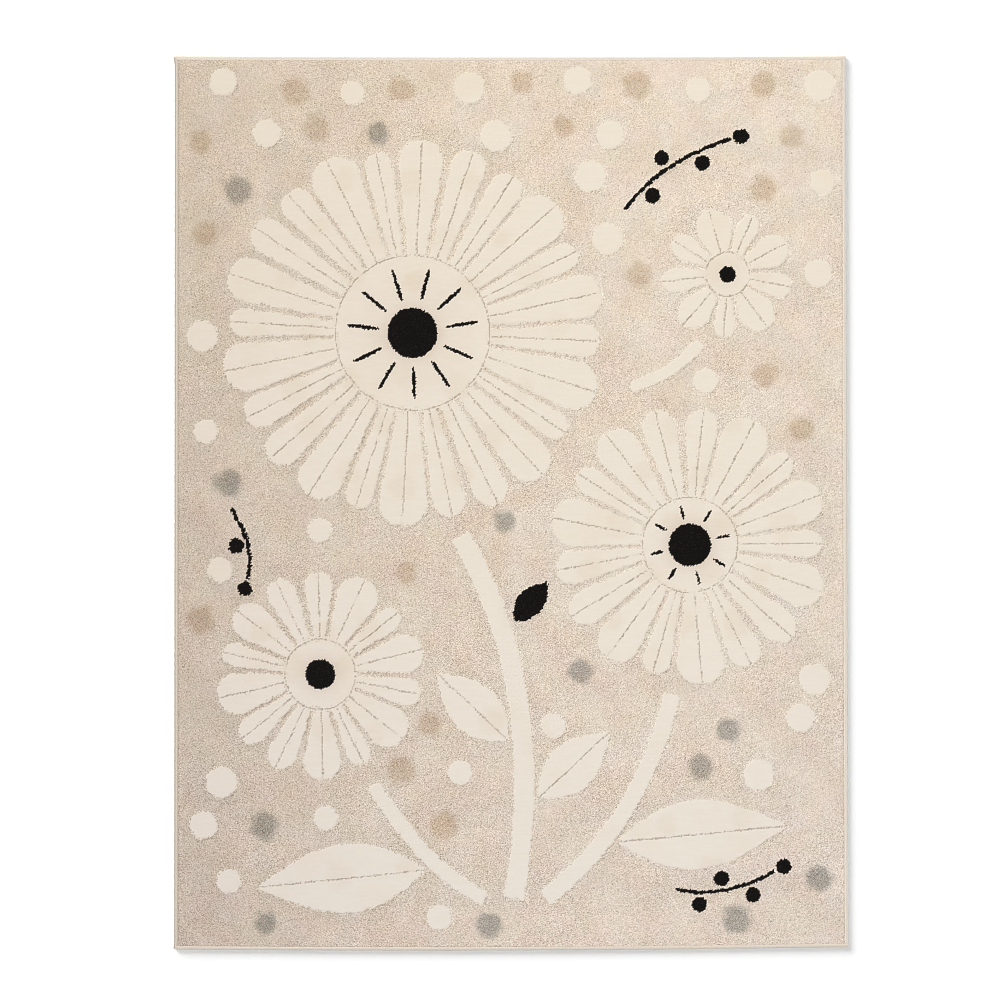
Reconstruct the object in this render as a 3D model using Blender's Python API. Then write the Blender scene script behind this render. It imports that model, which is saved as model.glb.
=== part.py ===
"""Kids' rug, about 1.2 x 1.6 m: a woven carpet with a high-low pile, and a serged edge on its four sides.

Units are metres. +Z is up, +Y runs along the rug's long side, and the origin is the middle of the underside.
The rug is first laid out as a true rectangle, and every point is then moved by the small unevenness of
the real edges.
"""

import math
import random
from collections import namedtuple

import bmesh
import bpy
from mathutils import Matrix, Vector

MM = 0.001

# Driving sizes of the rug
WIDTH = 1.202
LENGTH = 1.597
GROUND_TOP = 9.0 * MM
RAISED_TOP = 12.0 * MM
RELIEF_SLOPE = 1.2 * MM
PILE_SHOULDER = 0.8 * MM
MITRE_LIMIT = 0.5
FIT_GAP = 0.3 * MM

# Serged edge: yarn wrapped round the carpet's thin margin, as a C-shaped sleeve
SERGING_WIDTH = 6.0 * MM
SERGING_TOP = 8.4 * MM
SERGING_WALL = 1.5 * MM
SERGING_SOLE = 1.2 * MM
SERGING_ROUND = 2.8 * MM
ROUND_STEPS = 4
CORNER_ROUND = 4.0 * MM

# Each edge's distance outside the true rectangle, at its two ends and its middle. The start is the
# bottom end of a left or right edge, and the left end of a top or bottom edge.
Edge = namedtuple("Edge", "start middle end")
LEFT_EDGE = Edge(start=0.6 * MM, middle=0.0, end=-0.5 * MM)
RIGHT_EDGE = Edge(start=2.9 * MM, middle=0.0, end=-1.6 * MM)
BOTTOM_EDGE = Edge(start=-1.6 * MM, middle=0.0, end=-6.0 * MM)
TOP_EDGE = Edge(start=1.6 * MM, middle=0.0, end=1.8 * MM)

# Corners where the serging bunches up and stands out
Flare = namedtuple("Flare", "side_x side_y out_x out_y")
FLARES = (
    Flare(side_x=-1, side_y=1, out_x=-2.5 * MM, out_y=0.0),
    Flare(side_x=1, side_y=1, out_x=0.6 * MM, out_y=0.9 * MM),
    Flare(side_x=-1, side_y=-1, out_x=-1.3 * MM, out_y=0.0),
)
FLARE_REACH = 9.0 * MM
EDGE_STATIONS = (0.0, 3.0 * MM, 6.0 * MM, 10.0 * MM, 16.0 * MM, 26.0 * MM)
EDGE_SPANS = 9

# Relief: flowers, stems, leaves, berry sprigs and dots in raised pile, parted by carved grooves
GROOVE = 4.0 * MM
DISC_STEPS = 28
Flower = namedtuple("Flower", "x y disc radius petals turn")
FLOWERS = (
    Flower(x=-0.175, y=0.305, disc=0.135, radius=0.345, petals=24, turn=4),
    Flower(x=0.320, y=-0.075, disc=0.082, radius=0.250, petals=17, turn=9),
    Flower(x=-0.340, y=-0.305, disc=0.060, radius=0.188, petals=14, turn=0),
    Flower(x=0.388, y=0.408, disc=0.036, radius=0.120, petals=9, turn=6),
)
DISC_GAP = 6.0 * MM
# Petals differ in turn, as in hand drawing: share of the circle, length, and the gap to the next one
Petal = namedtuple("Petal", "share length gap")
PETALS = (
    Petal(share=1.10, length=1.00, gap=8.0 * MM),
    Petal(share=0.85, length=0.95, gap=16.0 * MM),
    Petal(share=1.20, length=1.00, gap=6.0 * MM),
    Petal(share=0.90, length=0.97, gap=11.0 * MM),
    Petal(share=1.05, length=0.99, gap=20.0 * MM),
)
PETAL_GAP_SHARE = 0.25
PETAL_ROUND = 0.75
PETAL_END_STEPS = 4

# Stems and stalks are strips along a curve with one bend
Strip = namedtuple("Strip", "start bend end width")
STEMS = (
    Strip(start=(0.005, -0.705), bend=(0.070, -0.330), end=(-0.090, -0.058), width=0.036),
    Strip(start=(0.060, -0.705), bend=(0.230, -0.575), end=(0.288, -0.342), width=0.030),
    Strip(start=(-0.047, -0.705), bend=(-0.150, -0.655), end=(-0.246, -0.502), width=0.026),
    Strip(start=(0.215, 0.208), bend=(0.285, 0.226), end=(0.340, 0.286), width=0.020),
)
STRIP_STEPS = 12

# Leaves grow from a stem: its number, the share of its length, the side (1 is left), the angle away
# from the stem in degrees, length and width
Leaf = namedtuple("Leaf", "stem share side angle length width")
LEAVES = (
    Leaf(stem=0, share=0.40, side=1, angle=42, length=0.175, width=0.086),
    Leaf(stem=0, share=0.25, side=-1, angle=46, length=0.170, width=0.084),
    Leaf(stem=0, share=0.72, side=-1, angle=58, length=0.092, width=0.044),
    Leaf(stem=1, share=0.38, side=-1, angle=48, length=0.300, width=0.120),
    Leaf(stem=2, share=0.45, side=1, angle=50, length=0.300, width=0.120),
)
LEAF_STEPS = 9
LEAF_FOOT = 0.9

Sprig = namedtuple("Sprig", "start bend end berries")
SPRIGS = (
    Sprig(start=(0.205, 0.525), bend=(0.265, 0.610), end=(0.395, 0.650), berries=3),
    Sprig(start=(0.295, -0.690), bend=(0.375, -0.712), end=(0.470, -0.660), berries=3),
    Sprig(start=(-0.500, -0.010), bend=(-0.455, -0.070), end=(-0.470, -0.135), berries=1),
)
STALK_WIDTH = 7.0 * MM
BERRY_RADIUS = 14.0 * MM
BERRY_STEPS = 12

# Dots stand on a staggered lattice with a seeded shift, where nothing else is raised
DOT_COLUMNS = 11
DOT_ROWS = 18
DOT_PITCH_X = 0.106
DOT_PITCH_Y = 0.088
DOT_STAGGER = 0.25
DOT_SHIFT = 0.016
DOT_SEED = 11
DOT_RADII = (0.028, 0.022, 0.025)
DOT_STEPS = 16
DOT_CLEARANCE = 0.012
RAISED_DOT_EVERY = 2

CARPET_COLOUR = (0.68, 0.59, 0.49, 1.0)
SERGING_COLOUR = (0.74, 0.67, 0.57, 1.0)


def clear_scene():
    for obj in list(bpy.data.objects):
        bpy.data.objects.remove(obj)


def material(name, colour, roughness):
    made = bpy.data.materials.new(name)
    made.use_nodes = True
    shader = made.node_tree.nodes["Principled BSDF"]
    shader.inputs["Base Color"].default_value = colour
    shader.inputs["Roughness"].default_value = roughness
    shader.inputs["Metallic"].default_value = 0.0
    return made


def link(name, bm, surface):
    mesh = bpy.data.meshes.new(name)
    bm.to_mesh(mesh)
    bm.free()
    mesh.materials.append(surface)
    obj = bpy.data.objects.new(name, mesh)
    bpy.context.scene.collection.objects.link(obj)
    return obj


# --- The unevenness of the real rug ---------------------------------------------------------------


def edge_offset(edge, share):
    """The parabola through an edge's three offsets, at a share of its length from its start."""
    start = edge.start * (1 - share) * (1 - 2 * share)
    middle = edge.middle * 4 * share * (1 - share)
    end = edge.end * share * (2 * share - 1)
    return start + middle + end


def rounded_at_corner(x, y):
    """Draws the square corners in to an arc. A ring's distance from the edge stays the same."""
    past_x = abs(x) - (WIDTH / 2 - CORNER_ROUND)
    past_y = abs(y) - (LENGTH / 2 - CORNER_ROUND)
    if past_x <= 0 or past_y <= 0:
        return x, y
    shrink = max(past_x, past_y) / math.hypot(past_x, past_y)
    x -= math.copysign(past_x * (1 - shrink), x)
    y -= math.copysign(past_y * (1 - shrink), y)
    return x, y


def uneven(point):
    """Where a point of the true rectangle lies on the real rug."""
    x, y = rounded_at_corner(point.x, point.y)
    across = x / WIDTH + 0.5
    along = y / LENGTH + 0.5
    move_x = edge_offset(RIGHT_EDGE, along) * across - edge_offset(LEFT_EDGE, along) * (1 - across)
    move_y = edge_offset(TOP_EDGE, across) * along - edge_offset(BOTTOM_EDGE, across) * (1 - along)
    for flare in FLARES:
        away = math.hypot(x - flare.side_x * WIDTH / 2, y - flare.side_y * LENGTH / 2)
        weight = math.exp(-((away / FLARE_REACH) ** 2))
        move_x += flare.out_x * weight
        move_y += flare.out_y * weight
    return Vector((x + move_x, y + move_y, point.z))


def lay_unevenly(bm):
    for vertex in bm.verts:
        vertex.co = uneven(vertex.co)


def centre_on_origin(objects):
    """Puts the middle of the whole rug's outline at x = y = 0."""
    corners = [v.co for obj in objects for v in obj.data.vertices]
    middle_x = (min(c.x for c in corners) + max(c.x for c in corners)) / 2
    middle_y = (min(c.y for c in corners) + max(c.y for c in corners)) / 2
    for obj in objects:
        obj.data.transform(Matrix.Translation((-middle_x, -middle_y, 0)))


# --- Outlines of the relief, each a counter-clockwise list of 2-D points ----------------------------


def circle(x, y, radius, steps):
    turns = [2 * math.pi * i / steps for i in range(steps)]
    return [Vector((x + radius * math.cos(a), y + radius * math.sin(a))) for a in turns]


def petal_outlines(inner, outer, half_inner, half_outer, cap):
    """A petal along +X as two halves beside a carved crease, with straight sides and a round outer end."""
    halves = []
    for side in (-1, 1):
        half = [Vector((inner, side * GROOVE / 2)), Vector((inner, side * half_inner))]
        for i in range(PETAL_END_STEPS + 1):
            a = math.pi / 2 * i / PETAL_END_STEPS
            reach = GROOVE / 2 + (half_outer - GROOVE / 2) * math.cos(a)
            half.append(Vector((outer - cap + cap * math.sin(a), side * reach)))
        halves.append(half[::-1] if side > 0 else half)
    return halves


def flower_outlines(flower):
    """The disc and the petals round it."""
    outlines = [circle(flower.x, flower.y, flower.disc, DISC_STEPS)]
    centre = Vector((flower.x, flower.y))
    inner = flower.disc + DISC_GAP
    petals = [PETALS[i % len(PETALS)] for i in range(flower.petals)]
    whole = sum(petal.share for petal in petals)
    angle = math.radians(flower.turn)
    for petal in petals:
        sweep = 2 * math.pi * petal.share / whole
        slant = math.tan(sweep / 2)
        outer = flower.radius * petal.length
        cap = PETAL_ROUND * outer * slant
        half_inner = inner * slant - min(petal.gap / 2, PETAL_GAP_SHARE * inner * slant)
        half_outer = (outer - cap) * slant - petal.gap / 2
        turn = Matrix.Rotation(angle + sweep / 2, 2)
        for half in petal_outlines(inner, outer, half_inner, half_outer, cap):
            outlines.append([centre + turn @ p for p in half])
        angle += sweep
    return outlines


def bezier(start, bend, end, share):
    """A point of the curve with one bend, and its direction."""
    start, bend, end = Vector(start), Vector(bend), Vector(end)
    first, second = start.lerp(bend, share), bend.lerp(end, share)
    return first.lerp(second, share), (second - first).normalized()


def strip_outline(start, bend, end, width):
    """A strip of even width along a bent line, cut square at both ends."""
    left, right = [], []
    for i in range(STRIP_STEPS + 1):
        point, ahead = bezier(start, bend, end, i / STRIP_STEPS)
        side = Vector((-ahead.y, ahead.x)) * width / 2
        left.append(point + side)
        right.append(point - side)
    return right + left[::-1]


def leaf_outlines(leaf):
    """Two halves of a leaf, one each side of the carved midrib."""
    stem = STEMS[leaf.stem]
    point, ahead = bezier(stem.start, stem.bend, stem.end, leaf.share)
    foot = point + Vector((-ahead.y, ahead.x)) * leaf.side * (stem.width / 2 + 2 * GROOVE)
    direction = math.atan2(ahead.y, ahead.x) + leaf.side * math.radians(leaf.angle)
    turn = Matrix.Rotation(direction, 2)
    halves = []
    for side in (1, -1):
        half = [Vector((leaf.length, side * GROOVE / 2)), Vector((0.0, side * GROOVE / 2))]
        for i in range(1, LEAF_STEPS):
            share = i / LEAF_STEPS
            bulge = math.sin(math.pi * share ** LEAF_FOOT)
            half.append(Vector((leaf.length * share, side * (GROOVE + leaf.width * bulge) / 2)))
        halves.append([foot + turn @ p for p in (half if side < 0 else half[::-1])])
    return halves


def sprig_outlines(sprig):
    """A thin stalk with berries on alternate sides and one at its tip."""
    outlines = [strip_outline(sprig.start, sprig.bend, sprig.end, STALK_WIDTH)]
    reach = STALK_WIDTH / 2 + GROOVE + BERRY_RADIUS
    for i in range(sprig.berries):
        point, ahead = bezier(sprig.start, sprig.bend, sprig.end, (i + 1) / (sprig.berries + 1))
        side = Vector((-ahead.y, ahead.x)) * (reach if i % 2 else -reach)
        outlines.append(circle(point.x + side.x, point.y + side.y, BERRY_RADIUS, BERRY_STEPS))
    tip, ahead = bezier(sprig.start, sprig.bend, sprig.end, 1.0)
    tip = tip + ahead * (GROOVE + BERRY_RADIUS)
    outlines.append(circle(tip.x, tip.y, BERRY_RADIUS, BERRY_STEPS))
    return outlines


def dot_places():
    """Centres and radii of the lattice's dots."""
    shift = random.Random(DOT_SEED)
    for row in range(DOT_ROWS):
        for column in range(DOT_COLUMNS):
            x = (column - (DOT_COLUMNS - 1) / 2 + (DOT_STAGGER if row % 2 else -DOT_STAGGER)) * DOT_PITCH_X
            y = (row - (DOT_ROWS - 1) / 2) * DOT_PITCH_Y
            x += shift.uniform(-DOT_SHIFT, DOT_SHIFT)
            y += shift.uniform(-DOT_SHIFT, DOT_SHIFT)
            yield Vector((x, y)), DOT_RADII[(row + column) % len(DOT_RADII)]


def distance_to(outline, point):
    """From a point to an outline's edge, negative inside it."""
    nearest = math.inf
    inside = False
    for i, b in enumerate(outline):
        a = outline[i - 1]
        share = max(0.0, min(1.0, (point - a).dot(b - a) / (b - a).length_squared))
        nearest = min(nearest, (a.lerp(b, share) - point).length)
        if (a.y > point.y) != (b.y > point.y):
            if point.x < a.x + (point.y - a.y) / (b.y - a.y) * (b.x - a.x):
                inside = not inside
    return -nearest if inside else nearest


def dot_outlines(others):
    """The raised dots: every second one of those that have room."""
    outlines = []
    kept = 0
    for centre, radius in dot_places():
        margin = SERGING_WIDTH + DOT_CLEARANCE + radius
        if abs(centre.x) > WIDTH / 2 - margin or abs(centre.y) > LENGTH / 2 - margin:
            continue
        if any(distance_to(outline, centre) < radius + DOT_CLEARANCE for outline in others):
            continue
        kept += 1
        if kept % RAISED_DOT_EVERY == 0:
            outlines.append(circle(centre.x, centre.y, radius, DOT_STEPS))
    return outlines


def relief_outlines():
    outlines = []
    for flower in FLOWERS:
        outlines += flower_outlines(flower)
    for stem in STEMS:
        outlines.append(strip_outline(stem.start, stem.bend, stem.end, stem.width))
    for leaf in LEAVES:
        outlines += leaf_outlines(leaf)
    for sprig in SPRIGS:
        outlines += sprig_outlines(sprig)
    return outlines + dot_outlines(outlines)


# --- Solids ---------------------------------------------------------------------------------------


def offset_outline(points, distance):
    """The outline moved outwards by a distance, or inwards if it is negative."""
    moved = []
    for i, point in enumerate(points):
        before = (point - points[i - 1]).normalized()
        after = (points[(i + 1) % len(points)] - point).normalized()
        normal = Vector((before.y + after.y, -before.x - after.x)).normalized()
        stretch = 1 / max(MITRE_LIMIT, normal.dot(Vector((before.y, -before.x))))
        moved.append(point + normal * distance * stretch)
    return moved


def ring(bm, points, z):
    return [bm.verts.new((p.x, p.y, z)) for p in points]


def bridge(bm, lower, upper):
    """Faces between two rings of as many points, facing outwards where both run counter-clockwise."""
    for i, vertex in enumerate(lower):
        after = (i + 1) % len(lower)
        bm.faces.new((vertex, lower[after], upper[after], upper[i]))


def stations(length):
    """Distances along an edge from its middle: close together near the corners."""
    half = length / 2
    ends = [half - d for d in EDGE_STATIONS]
    span = 2 * ends[-1] / EDGE_SPANS
    between = [-ends[-1] + span * i for i in range(1, EDGE_SPANS)]
    return [-e for e in ends] + between + ends[::-1]


def side_line(side, inset):
    """One side of the rectangle at an inset, counter-clockwise: 0 bottom, 1 right, 2 top, 3 left."""
    length, across = (WIDTH, LENGTH) if side % 2 == 0 else (LENGTH, WIDTH)
    shrink = (length / 2 - inset) / (length / 2)
    turn = Matrix.Rotation(side * math.pi / 2, 2)
    return [turn @ Vector((s * shrink, inset - across / 2)) for s in stations(length)]


def rug_outline(inset):
    return [p for side in range(4) for p in side_line(side, inset)[:-1]]


def build_carpet(surface):
    """The slab with a thin margin inside the serging, and the relief raised from its top face."""
    bm = bmesh.new()
    margin = SERGING_WALL + FIT_GAP
    body = SERGING_WIDTH + FIT_GAP
    margin_low = SERGING_SOLE + FIT_GAP
    margin_high = SERGING_TOP - SERGING_WALL - FIT_GAP
    levels = (
        (body, 0.0),
        (body, margin_low),
        (margin, margin_low),
        (margin, margin_high),
        (body, margin_high),
        (body, GROUND_TOP - PILE_SHOULDER),
        (body + PILE_SHOULDER, GROUND_TOP),
    )
    rings = [ring(bm, rug_outline(inset), z) for inset, z in levels]
    for lower, upper in zip(rings, rings[1:]):
        bridge(bm, lower, upper)
    bm.faces.new(rings[0][::-1])

    rims = [rings[-1]]
    for outline in relief_outlines():
        foot = ring(bm, offset_outline(outline, RELIEF_SLOPE / 2), GROUND_TOP)
        head = ring(bm, offset_outline(outline, -RELIEF_SLOPE / 2), RAISED_TOP)
        bridge(bm, foot, head)
        bm.faces.new(head)
        rims.append(foot)
    edges = [bm.edges.get((rim[i - 1], rim[i])) for rim in rims for i in range(len(rim))]
    bmesh.ops.triangle_fill(bm, edges=edges, use_beauty=True, normal=(0, 0, 1))
    lay_unevenly(bm)
    bmesh.ops.recalc_face_normals(bm, faces=bm.faces)
    return link("carpet", bm, surface)


def serging_section():
    """The sleeve's section as (inset, height), round on its outer side and open inwards."""
    section = []
    for i in range(ROUND_STEPS + 1):
        a = math.pi / 2 * i / ROUND_STEPS
        inset = SERGING_ROUND * (1 - math.sin(a))
        section.append((inset, SERGING_ROUND * (1 - math.cos(a))))
    for i in range(ROUND_STEPS + 1):
        a = math.pi / 2 * i / ROUND_STEPS
        inset = SERGING_ROUND * (1 - math.cos(a))
        section.append((inset, SERGING_TOP - SERGING_ROUND * (1 - math.sin(a))))
    lip = SERGING_TOP - SERGING_WALL
    section += [(SERGING_WIDTH - PILE_SHOULDER, SERGING_TOP), (SERGING_WIDTH, SERGING_TOP - PILE_SHOULDER)]
    section += [(SERGING_WIDTH, lip), (SERGING_WALL, lip)]
    section += [(SERGING_WALL, SERGING_SOLE), (SERGING_WIDTH, SERGING_SOLE), (SERGING_WIDTH, 0.0)]
    return section


def build_serging(name, side, surface):
    """One side's run of edge yarn, mitred at both corners with half the fit gap."""
    bm = bmesh.new()
    turn = Matrix.Rotation(side * math.pi / 2, 2)
    ahead = turn @ Vector((1.0, 0.0))
    lines = []
    for inset, z in serging_section():
        line = side_line(side, inset)
        line[0] = line[0] + ahead * FIT_GAP / 2
        line[-1] = line[-1] - ahead * FIT_GAP / 2
        lines.append(ring(bm, line, z))
    for i, line in enumerate(lines):
        following = lines[(i + 1) % len(lines)]
        for j in range(len(line) - 1):
            bm.faces.new((line[j], line[j + 1], following[j + 1], following[j]))
    bm.faces.new([line[0] for line in lines])
    bm.faces.new([line[-1] for line in lines])
    lay_unevenly(bm)
    bmesh.ops.recalc_face_normals(bm, faces=bm.faces)
    return link(name, bm, surface)


def main():
    clear_scene()
    carpet_surface = material("carpet_pile", CARPET_COLOUR, 0.95)
    yarn_surface = material("serging_yarn", SERGING_COLOUR, 0.8)
    parts = [build_carpet(carpet_surface)]
    for side, name in enumerate(("serging_bottom", "serging_right", "serging_top", "serging_left")):
        parts.append(build_serging(name, side, yarn_surface))
    centre_on_origin(parts)


main()
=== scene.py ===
"""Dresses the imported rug: tufted pile over its relief, wrapped edges, a woven back, light and camera."""

import math
import random
from collections import namedtuple

import bpy
import numpy as np
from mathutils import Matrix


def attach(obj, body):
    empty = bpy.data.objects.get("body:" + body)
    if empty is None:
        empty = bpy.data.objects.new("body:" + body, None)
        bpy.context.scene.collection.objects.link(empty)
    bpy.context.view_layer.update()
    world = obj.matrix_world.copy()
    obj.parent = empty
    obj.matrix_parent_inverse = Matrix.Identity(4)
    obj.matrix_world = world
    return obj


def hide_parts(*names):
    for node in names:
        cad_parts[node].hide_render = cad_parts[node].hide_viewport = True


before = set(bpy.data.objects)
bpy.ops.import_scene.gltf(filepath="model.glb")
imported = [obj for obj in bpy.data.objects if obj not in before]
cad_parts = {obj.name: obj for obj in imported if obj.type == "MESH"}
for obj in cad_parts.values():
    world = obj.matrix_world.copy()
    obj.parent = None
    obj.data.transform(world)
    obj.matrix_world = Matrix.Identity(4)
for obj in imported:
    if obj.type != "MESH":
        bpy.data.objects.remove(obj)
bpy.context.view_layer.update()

MM = 0.001
SEED = 7
RNG = np.random.default_rng(SEED)

# The rug's sizes, as in its solids
WIDTH = 1.202
LENGTH = 1.597
GROUND_TOP = 9.0 * MM
RAISED_TOP = 12.0 * MM
SERGING_WIDTH = 6.0 * MM
CORNER_ROUND = 4.0 * MM

Edge = namedtuple("Edge", "start middle end")
LEFT_EDGE = Edge(start=0.6 * MM, middle=0.0, end=-0.5 * MM)
RIGHT_EDGE = Edge(start=2.9 * MM, middle=0.0, end=-1.6 * MM)
BOTTOM_EDGE = Edge(start=-1.6 * MM, middle=0.0, end=-6.0 * MM)
TOP_EDGE = Edge(start=1.6 * MM, middle=0.0, end=1.8 * MM)
Flare = namedtuple("Flare", "side_x side_y out_x out_y")
FLARES = (
    Flare(side_x=-1, side_y=1, out_x=-2.5 * MM, out_y=0.0),
    Flare(side_x=1, side_y=1, out_x=0.6 * MM, out_y=0.9 * MM),
    Flare(side_x=-1, side_y=-1, out_x=-1.3 * MM, out_y=0.0),
)
FLARE_REACH = 9.0 * MM

# Relief of the solids that colour goes by
GROOVE = 4.0 * MM
DISC_GAP = 6.0 * MM
RELIEF_SLOPE = 1.2 * MM
Flower = namedtuple("Flower", "x y disc radius petals turn")
FLOWERS = (
    Flower(x=-0.175, y=0.305, disc=0.135, radius=0.345, petals=24, turn=4),
    Flower(x=0.320, y=-0.075, disc=0.082, radius=0.250, petals=17, turn=9),
    Flower(x=-0.340, y=-0.305, disc=0.060, radius=0.188, petals=14, turn=0),
    Flower(x=0.388, y=0.408, disc=0.036, radius=0.120, petals=9, turn=6),
)
Petal = namedtuple("Petal", "share length")
PETALS = (
    Petal(share=1.10, length=1.00),
    Petal(share=0.85, length=0.95),
    Petal(share=1.20, length=1.00),
    Petal(share=0.90, length=0.97),
    Petal(share=1.05, length=0.99),
)
Bend = namedtuple("Bend", "start bend end")
Leaf = namedtuple("Leaf", "stem stem_width share side angle length width")
STEM = Bend(start=(0.005, -0.705), bend=(0.070, -0.330), end=(-0.090, -0.058))
RIGHT_STEM = Bend(start=(0.060, -0.705), bend=(0.230, -0.575), end=(0.288, -0.342))
LEFT_STEM = Bend(start=(-0.047, -0.705), bend=(-0.150, -0.655), end=(-0.246, -0.502))
LEAVES = (
    Leaf(stem=STEM, stem_width=0.036, share=0.40, side=1, angle=42, length=0.175, width=0.086),
    Leaf(stem=STEM, stem_width=0.036, share=0.25, side=-1, angle=46, length=0.170, width=0.084),
    Leaf(stem=RIGHT_STEM, stem_width=0.030, share=0.38, side=-1, angle=48, length=0.300, width=0.120),
    Leaf(stem=LEFT_STEM, stem_width=0.026, share=0.45, side=1, angle=50, length=0.300, width=0.120),
)
BLACK_LEAF = Leaf(stem=STEM, stem_width=0.036, share=0.72, side=-1, angle=58, length=0.092, width=0.044)
Sprig = namedtuple("Sprig", "line berries")
SPRIGS = (
    Sprig(line=Bend(start=(0.205, 0.525), bend=(0.265, 0.610), end=(0.395, 0.650)), berries=3),
    Sprig(line=Bend(start=(0.295, -0.690), bend=(0.375, -0.712), end=(0.470, -0.660)), berries=3),
    Sprig(line=Bend(start=(-0.500, -0.010), bend=(-0.455, -0.070), end=(-0.470, -0.135)), berries=1),
)
LEAF_FOOT = 0.9
STALK_WIDTH = 7.0 * MM
BERRY_RADIUS = 14.0 * MM
BLACK_REACH = 2.5 * MM

# Pile: one grid point to a tuft, in tiles that keep under the triangle limit
TUFT = 2.15 * MM
TUFT_SCATTER = 0.24
TILES_ACROSS = 2
TILES_ALONG = 3
PILE_INSET = 6.6 * MM
PILE_BORDER_Z = 7.2 * MM
GROUND_LEVEL = GROUND_TOP + 0.45 * MM
RAISED_LEVEL = RAISED_TOP - 0.30 * MM
FOOT_RISE = 0.9 * MM

# How finely the solids' outline and relief are read, and from what height on pile counts as lifted
OUTLINE_POINTS = 801
RELIEF_RASTER = 0.5 * MM
RELIEF_LEAST = 0.1 * MM
LIFTED_LEVEL = GROUND_TOP + 1.0 * MM

# How unevenly the tufts stand: each one by itself, within limits, and all in slow waves of so many tufts
GROUND_ROUGHNESS = 0.34 * MM
RAISED_ROUGHNESS = 0.04 * MM
LOWEST_TUFT = -2.0
HIGHEST_TUFT = 1.6
UNDULATION = 0.10 * MM
UNDULATION_STEP = 14

# How much of these bumps, and of the steps up to the raised pile, the shading follows
BUMP_SHADING = 0.12
STEP_SHADING = 0.08

# Edges of raised pile and of dots: tufts stray one by one, more so to the left, and in slow waves
EDGE_TOOTH_LEFT = 2.0 * MM
EDGE_TOOTH_RIGHT = 0.9 * MM
EDGE_WOBBLE = 1.2 * MM
DOT_WOBBLE = 4.0 * MM
WOBBLE_STEP = 6

# Carved lines, one tuft wide, which wander a little and are less deep here and there
CREASE_WANDER = 0.8 * MM
CREASE_WANDER_STEP = 9
CREASE_JITTER = 0.3
CREASE_HALF = 0.52 * TUFT
CREASE_DEPTH = 1.5 * MM
CREASE_SHALLOWEST = 0.45
CREASE_CLAMP = 8.0 * MM
CREASE_ZONE = 4.2 * MM

# Painted light: low pile in the cast shadow of raised pile at its upper left is painted lighter, by
# distance, and less in narrow gaps
Ring = namedtuple("Ring", "tufts share")
LEE_RINGS = (
    Ring(tufts=1, share=1.0),
    Ring(tufts=2, share=0.62),
    Ring(tufts=3, share=0.26),
    Ring(tufts=4, share=0.10),
)
NARROW_REACH = 3
NARROW_SPAN = (0.36, 0.60)
NARROW_SHADE = 0.35

# How far off, in tufts, raised or black pile still colours the pile round it
NEAR_REACH = 8

# How dark the painted shade is at the pile's margin on each side, where it dips under the serging, and a
# tuft further in
RIM_LEFT = 1.0
RIM_RIGHT = 0.75
RIM_TOP = 0.1
RIM_BOTTOM = 1.0
RIM_BOTTOM_FALL = 0.7
RIM_SECOND = 0.35
RIM_SIDE = 0.02

# Black inlay in the flowers' discs: a core, and lines that stand round it
Inlay = namedtuple("Inlay", "flower core lines line_start line_end line_width")
INLAYS = (
    Inlay(flower=0, core=0.045, lines=11, line_start=0.060, line_end=0.118, line_width=6.5 * MM),
    Inlay(flower=1, core=0.038, lines=8, line_start=0.048, line_end=0.073, line_width=5.5 * MM),
    Inlay(flower=2, core=0.027, lines=0, line_start=0.0, line_end=1.0, line_width=0.0),
    Inlay(flower=3, core=0.015, lines=0, line_start=0.0, line_end=1.0, line_width=0.0),
)
INLAY_TURN = 0.3
INLAY_TAPER = 0.3
INLAY_TOOTH = 0.9 * MM
STALK_POINTS = 60

# Coloured dots at ground level stand on the same lattice as the raised ones, where nothing is raised
FlatDot = namedtuple("FlatDot", "x y radius kind")
DOT_COLUMNS = 11
DOT_ROWS = 18
DOT_PITCH_X = 0.106
DOT_PITCH_Y = 0.088
DOT_STAGGER = 0.25
DOT_SHIFT = 0.016
DOT_SEED = 11
DOT_RADII = (0.028, 0.022, 0.025)
DOT_CLEARANCE = 0.012
DOT_RING_POINTS = 24
DOT_KINDS = ("grey", "taupe", "veiled")
FLAT_DOT_CORE = 0.50
FLAT_DOT_END = 1.20
FAINTEST_DOT = 0.78
VEILED_SHARE = 0.55

# Serging: the section of its sleeve, from the inner lip over the edge to the underside
SERGING_SIDES = ("bottom", "right", "top", "left")
Point = namedtuple("Point", "inset height")
SERGING_SECTION = (
    Point(inset=7.4 * MM, height=7.3 * MM),
    Point(inset=6.2 * MM, height=8.3 * MM),
    Point(inset=4.0 * MM, height=8.8 * MM),
    Point(inset=1.8 * MM, height=8.1 * MM),
    Point(inset=0.5 * MM, height=6.4 * MM),
    Point(inset=0.0 * MM, height=4.2 * MM),
    Point(inset=0.4 * MM, height=2.2 * MM),
    Point(inset=1.5 * MM, height=0.8 * MM),
    Point(inset=3.0 * MM, height=0.25 * MM),
    Point(inset=6.5 * MM, height=0.25 * MM),
)
SERGING_MIDDLE = Point(inset=3.4 * MM, height=4.4 * MM)
WRAP_PITCH = 2.4 * MM
WRAP_STEPS = 3
WRAP_HEIGHT = 0.30 * MM
WRAP_VARIATION = 0.25
WRAP_STRAY = 0.12 * MM
WRAP_SLANT = 1.1
WRAP_UPTURN = 1.3
WRAP_UPTURN_START = -0.4

# How much painted light makes the yarn paler (above 0), or painted shade darker (below), on each side,
# outside and inside its crest
WrapPaintedLight = namedtuple("WrapPaintedLight", "outer inner")
WRAP_PAINTED_LIGHT = {
    "bottom": WrapPaintedLight(outer=0.45, inner=0.05),
    "right": WrapPaintedLight(outer=0.90, inner=0.20),
    "top": WrapPaintedLight(outer=0.10, inner=1.00),
    "left": WrapPaintedLight(outer=-0.64, inner=-0.05),
}
CREST_INSET = 3.8 * MM
CREST_FADE = 2.0 * MM

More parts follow.
